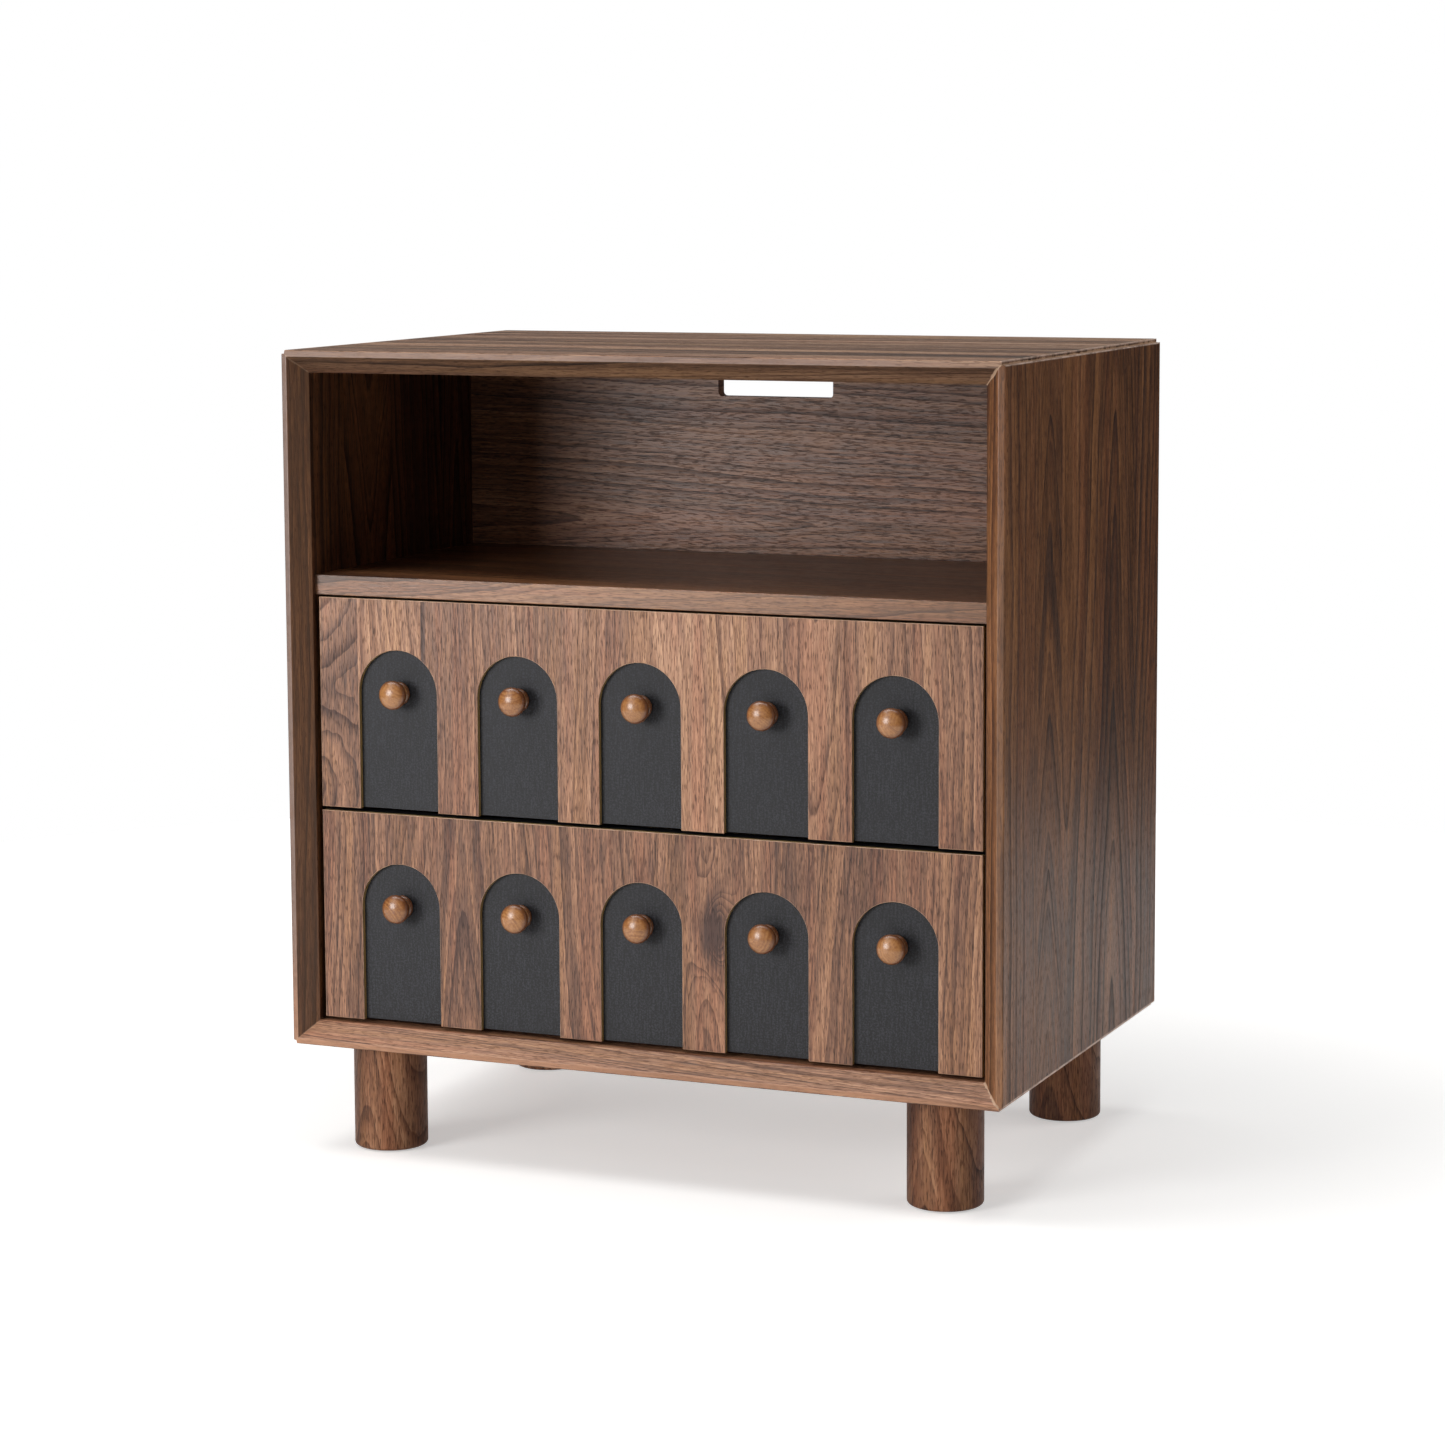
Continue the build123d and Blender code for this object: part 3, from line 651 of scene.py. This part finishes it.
def arc_points(start, middle, end, count):
    """Points along the arc through three points, without the first."""
    (ax, ay), (bx, by), (cx, cy) = start, middle, end
    twice_area = 2 * (ax * (by - cy) + bx * (cy - ay) + cx * (ay - by))
    a2 = ax * ax + ay * ay
    b2 = bx * bx + by * by
    c2 = cx * cx + cy * cy
    ox = (a2 * (by - cy) + b2 * (cy - ay) + c2 * (ay - by)) / twice_area
    oy = (a2 * (cx - bx) + b2 * (ax - cx) + c2 * (bx - ax)) / twice_area
    radius = math.hypot(ax - ox, ay - oy)
    first = math.atan2(ay - oy, ax - ox)
    sweep = math.atan2(cy - oy, cx - ox) - first
    through = math.atan2(by - oy, bx - ox) - first
    sweep = (sweep + math.pi) % (2 * math.pi) - math.pi
    through = (through + math.pi) % (2 * math.pi) - math.pi
    if sweep * through < 0:
        sweep -= math.copysign(2 * math.pi, sweep)
    angles = [first + sweep * i / count for i in range(1, count + 1)]
    return [(ox + radius * math.cos(angle), oy + radius * math.sin(angle)) for angle in angles]


def knob_profile():
    """The arcs as points, without the tip."""
    per_arc = 12
    points = [knob_arcs[0][0]]
    for arc in knob_arcs:
        points += arc_points(*arc, per_arc)
    return points[:-1]


def turned_knob(node, body):
    """A knob turned on a lathe, in place of its CAD solid."""
    x = centre(node).x
    z = centre(node).z
    board_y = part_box(node)[1].y
    around = 72
    angles = [2 * math.pi * i / around for i in range(around)]
    mesh = bmesh.new()
    rings = [
        [
            mesh.verts.new((x + radius * math.cos(angle), board_y - reach, z + radius * math.sin(angle)))
            for angle in angles
        ]
        for radius, reach in knob_profile()
    ]
    tip = mesh.verts.new((x, board_y - knob_arcs[-1][2][1], z))
    foot = mesh.verts.new((x, board_y, z))
    for ring, after in zip(rings, rings[1:]):
        for i in range(around):
            j = (i + 1) % around
            mesh.faces.new((ring[i], ring[j], after[j], after[i]))
    for i in range(around):
        j = (i + 1) % around
        mesh.faces.new((rings[-1][i], rings[-1][j], tip))
        mesh.faces.new((rings[0][j], rings[0][i], foot))
    bmesh.ops.recalc_face_normals(mesh, faces=mesh.faces)
    data = bpy.data.meshes.new(f"turned_{node}")
    mesh.to_mesh(data)
    mesh.free()
    data.polygons.foreach_set("use_smooth", [True] * len(data.polygons))
    piece = bpy.data.objects.new(f"turned_{node}", data)
    bpy.context.collection.objects.link(piece)
    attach(piece, body)
    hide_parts(node)
    return piece


def knob_wood():
    """Glossy varnished wood; each knob shows its own piece of grain."""
    s = Shader("knob_varnish")
    at = s.place()
    number = s.math("ROUND", s.over(at["x"], arch_pitch))
    upper = s.math("GREATER_THAN", at["z"], drawer_gap)
    r1, r2, r3 = s.random(s.plus(number, s.times(upper, 17.0)))

    # Rings round the heart of the tree, which runs along Y beside or through each knob
    heart_x = s.plus(s.times(number, arch_pitch), s.times(centred(s, r1), 0.03))
    heart_z = s.times(r2, 0.06)
    from_heart = distance(
        s, s.minus(at["x"], heart_x), s.minus(s.math("MODULO", at["z"], knob_rise), heart_z)
    )
    bend = s.noise(s.scaled(at, 90.0, 36.0, 90.0), detail=2.0)
    rings = s.line_noise(s.plus(s.times(from_heart, 700.0), s.times(bend, 3.0)), detail=2.0)
    fibre = s.noise(s.scaled(at, 700.0, 70.0, 700.0), detail=2.0)
    depth = weave(s, (0.35, rings), (0.5, fibre), (0.15, r3))
    colour = s.ramp(
        s.fit(depth, 0.25, 0.75),
        ((0.0, tone(132, 80, 40)), (0.5, tone(164, 109, 60)), (1.0, tone(185, 130, 77))),
    )
    # Painted shade round the side of the knob, where it turns away from the front
    rim = s.fit(s.normal()["y"], -0.9, -0.74)
    colour = s.mix(s.times(rim, 0.75), colour, tone(92, 44, 20))
    s.bump(fibre, 0.04, 0.0002)
    return s.finish(
        colour, s.fit(fibre, 0.3, 0.7, 0.32, 0.4), IOR=1.45, Coat_Weight=0.8, Coat_Roughness=0.24
    )


varnish = knob_wood()
for drawer in ("upper", "lower"):
    for number in range(1, 6):
        turned_knob(f"{drawer}_knob_{number}", f"{drawer}_drawer").data.materials.append(varnish)


# Drawer boxes, slides and fixings ================================================================


def plywood(name, along, across, through, seed):
    """Pale clear-lacquered plywood, with its plies showing on the edges."""
    s = Shader(name)
    at = s.place()
    g = grain(s, at[along], at[across], at[through], seed, ring=0.012)
    depth = weave(s, (0.4, g["broad"]), (0.35, g["fibre"]), (0.35, g["cloud"]), (-0.15, g["line"]))
    colour = s.ramp(
        s.fit(depth, 0.3, 0.85),
        ((0.0, tone(176, 142, 100)), (0.5, tone(208, 178, 136)), (1.0, tone(226, 201, 163))),
    )
    two_plies = 0.0028
    plies = s.math("FRACT", s.over(at[through], two_plies))
    edge = s.math("ABSOLUTE", s.normal()[through])
    stripe = s.times(s.fit(edge, 0.5, 0.3), s.fit(plies, 0.45, 0.55, 0.0, 0.5))
    colour = s.mix(stripe, colour, tone(150, 112, 74))
    s.bump(g["fibre"], 0.15, 0.0003)
    return s.finish(colour, s.fit(g["fibre"], 0.3, 0.7, 0.42, 0.55), IOR=1.46)


side_ply = plywood("ply_sides", "y", "z", "x", 41)
back_ply = plywood("ply_back", "x", "z", "y", 43)
bottom_ply = plywood("ply_bottom", "y", "x", "z", 47)
for drawer in ("upper", "lower"):
    dress(f"{drawer}_drawer_left_side", side_ply)
    dress(f"{drawer}_drawer_right_side", side_ply)
    dress(f"{drawer}_drawer_back", back_ply)
    dress(f"{drawer}_drawer_bottom", bottom_ply)


def metal(name, light, dark, along_scale, rough_low, rough_high):
    """Plated steel or cast zinc, with fine draw marks along Y and a dull mottle."""
    s = Shader(name)
    at = s.place()
    drawn = s.noise(s.scaled(at, 2400.0, along_scale, 2400.0), detail=2.0)
    mottle = s.noise(s.scaled(at, 130.0, 130.0, 130.0), detail=3.0)
    depth = weave(s, (0.8, drawn), (0.2, mottle))
    colour = s.ramp(s.fit(depth, 0.3, 0.7), ((0.0, dark), (1.0, light)))
    s.bump(drawn, 0.08, 0.0001)
    return s.finish(colour, s.fit(depth, 0.35, 0.65, rough_low, rough_high), Metallic=1.0)


slide_steel = metal("slide_steel", tone(196, 199, 202), tone(164, 167, 171), 30.0, 0.24, 0.38)
screw_steel = metal("screw_steel", tone(204, 203, 198), tone(168, 167, 162), 400.0, 0.26, 0.4)
cast_zinc = metal("cast_zinc", tone(176, 176, 174), tone(142, 142, 141), 2400.0, 0.42, 0.58)
for name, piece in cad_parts.items():
    if name.endswith("_member") or name.endswith("ball_cages"):
        dress(name, slide_steel)
    elif name.endswith("screws") or name.endswith("bolts"):
        dress(name, screw_steel)
    elif name in ("shelf_cam_locks", "leg_inserts"):
        dress(name, cast_zinc)


def beech():
    """Pale dry beech, for dowels."""
    s = Shader("beech_dowels")
    at = s.place()
    g = grain(s, at["x"], at["z"], at["y"], 53, ring=0.003)
    depth = weave(s, (0.5, g["fibre"]), (0.5, g["broad"]))
    colour = s.ramp(
        s.fit(depth, 0.3, 0.8), ((0.0, tone(178, 138, 98)), (1.0, tone(220, 186, 146)))
    )
    s.bump(g["fibre"], 0.2, 0.0002)
    return s.finish(colour, s.fit(g["fibre"], 0.3, 0.7, 0.55, 0.7))


def felt():
    """Brown felt, for the pads under the legs."""
    s = Shader("brown_felt")
    at = s.place()
    fuzz = s.noise(s.scaled(at, 1400.0, 1400.0, 1400.0), detail=4.0, roughness=0.75)
    colour = s.ramp(s.fit(fuzz, 0.3, 0.7), ((0.0, tone(58, 46, 38)), (1.0, tone(104, 88, 74))))
    s.bump(fuzz, 0.7, 0.0006)
    return s.finish(colour, s.fit(fuzz, 0.3, 0.7, 0.85, 0.98), Sheen_Weight=0.4)


dowel_material = beech()
for name in ("casing_dowels", "upper_drawer_dowels", "lower_drawer_dowels"):
    dress(name, dowel_material)
dress("foot_pads", felt())


# Floor, light and camera =========================================================================


def floor():
    """A plain pale round floor that fades into a white background."""
    reach = 1.6
    around = 96
    data = bpy.data.meshes.new("floor")
    turn = 2 * math.pi / around
    rim = [(reach * math.cos(turn * i), reach * math.sin(turn * i), 0) for i in range(around)]
    data.from_pydata(rim, [], [tuple(range(around))])
    piece = bpy.data.objects.new("floor", data)
    bpy.context.collection.objects.link(piece)
    s = Shader("studio_floor")
    at = s.place()
    speckle = s.noise(s.scaled(at, 4.0, 4.0, 0.0), detail=3.0)
    colour = s.ramp(speckle, ((0.3, tone(236, 235, 233)), (0.7, tone(240, 239, 237))))
    data.materials.append(s.finish(colour, 0.6, IOR=1.4))

    # The floor glows more towards its rim, to look at and in reflections, and lights nothing else
    fade_start = 0.45
    near_glow = 0.45
    rim_glow = 0.85
    ray = s.nodes.new("ShaderNodeLightPath")
    seen = weave(s, (1.0, ray.outputs["Is Camera Ray"]), (0.6, ray.outputs["Is Glossy Ray"]))
    outward = distance(s, at["x"], at["y"])
    glow = s.times(seen, s.fit(outward, fade_start, reach, near_glow, rim_glow))
    s.put(s.surface.inputs["Emission Strength"], glow)
    s.surface.inputs["Emission Color"].default_value = (1.0, 1.0, 1.0, 1.0)


def soft_light(name, turn, rise, away, size, power):
    """A softbox that faces the middle of the cabinet.

    turn is in degrees from straight in front towards the left, and rise in degrees upward.
    """
    data = bpy.data.lights.new(name, "AREA")
    data.shape = "RECTANGLE"
    data.size, data.size_y = size
    data.energy = power
    lamp = bpy.data.objects.new(name, data)
    turn = math.radians(turn)
    rise = math.radians(rise)
    level = math.cos(rise)
    outward = Vector((-math.sin(turn) * level, -math.cos(turn) * level, math.sin(rise)))
    lamp.location = outward * away + Vector((0.0, 0.0, cad_box[1].z / 2))
    lamp.rotation_euler = (-outward).to_track_quat("-Z", "Y").to_euler()
    bpy.context.collection.objects.link(lamp)
    return lamp


def studio():
    """Softboxes in a dim room that looks white: the main ones at the front left and overhead."""
    world = bpy.data.worlds.new("studio")
    world.use_nodes = True
    nodes = world.node_tree.nodes
    links = world.node_tree.links
    dim = nodes["Background"]
    dim.inputs["Color"].default_value = tone(220, 220, 224)
    dim.inputs["Strength"].default_value = 0.05
    white = nodes.new("ShaderNodeBackground")
    white.inputs["Color"].default_value = (1.0, 1.0, 1.0, 1.0)
    choice = nodes.new("ShaderNodeMixShader")
    links.new(nodes.new("ShaderNodeLightPath").outputs["Is Camera Ray"], choice.inputs[0])
    links.new(dim.outputs[0], choice.inputs[1])
    links.new(white.outputs[0], choice.inputs[2])
    links.new(choice.outputs[0], nodes["World Output"].inputs["Surface"])
    bpy.context.scene.world = world
    soft_light("key", 29, 9, 2.6, (1.1, 1.0), 35.0)
    soft_light("key_high", 30, 34, 2.6, (1.3, 0.9), 5.0)
    soft_light("front", -6, 12, 2.8, (1.6, 1.2), 3.0)
    soft_light("overhead", 0, 88, 2.4, (2.0, 2.0), 33.0)
    soft_light("overhead_left", 60, 58, 2.6, (1.3, 1.3), 21.0)
    soft_light("back_right", -125, 20, 2.6, (1.4, 1.0), 15.0).visible_glossy = False
    soft_light("right", -88, 12, 2.6, (1.2, 1.0), 6.0)
    soft_light("backdrop", 157, 14, 3.0, (3.2, 1.4), 4.0)


def camera():
    """A view from the front right and a little above, with a long lens."""
    data = bpy.data.cameras.new("camera")
    data.sensor_width = 36.0
    data.lens = 93.26
    data.shift_y = -0.08
    data.clip_end = 60.0
    piece = bpy.data.objects.new("camera", data)
    bpy.context.collection.objects.link(piece)
    place = Matrix.Translation((1.1758, -2.7688, 0.7788))
    yaw = math.radians(23.13)
    pitch = math.radians(6.58)
    roll = math.radians(-0.285)
    aim = Euler((math.pi / 2 - pitch, 0.0, yaw)).to_matrix() @ Matrix.Rotation(roll, 3, "Z")
    piece.matrix_world = place @ aim.to_4x4()
    bpy.context.scene.camera = piece


floor()
studio()
camera()
bpy.context.scene.view_settings.view_transform = "Standard"
